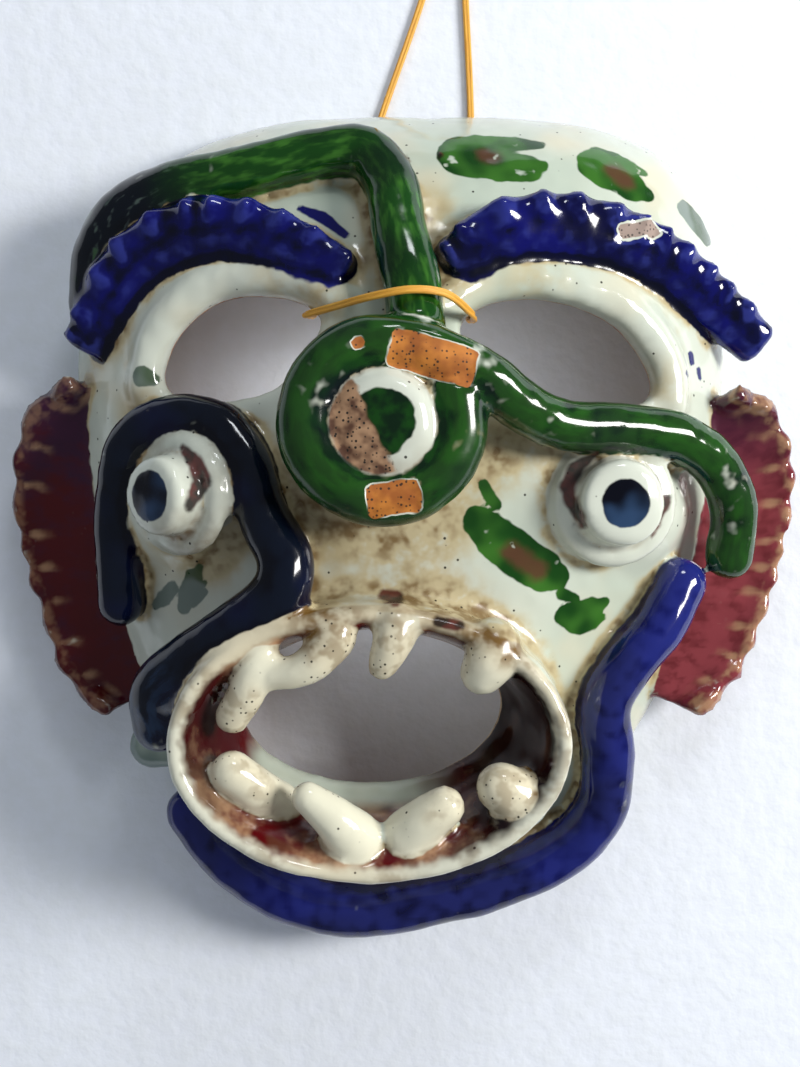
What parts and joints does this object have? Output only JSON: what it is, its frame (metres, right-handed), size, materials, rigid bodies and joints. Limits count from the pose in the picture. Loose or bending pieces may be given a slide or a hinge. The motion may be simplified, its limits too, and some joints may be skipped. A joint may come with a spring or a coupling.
{
  "type": "ceramic wall mask",
  "caption": "Grotesque glazed ceramic wall mask with clay coils, crimped brows, bulging and open eyes, a coiled nose, a wide toothed mouth and frilled ears, on a thin hanging cord.",
  "frame": {"origin": "on the plane that the back rim rests on, under the middle of the mask's outline, without the cord", "axes": "+Z out of the face, +Y towards the crown, +X towards the right side as the face is looked at"},
  "size_m": [0.2568, 0.3404, 0.0861],
  "materials": {
    "glazed_clay": "glossy fired glaze over terracotta",
    "cord": "smooth raffia-like fibre"
  },
  "bodies": {
    "root": {"ceramic_mask": "glazed_clay", "hanging_cord": "cord"}
  },
  "joints": []
}
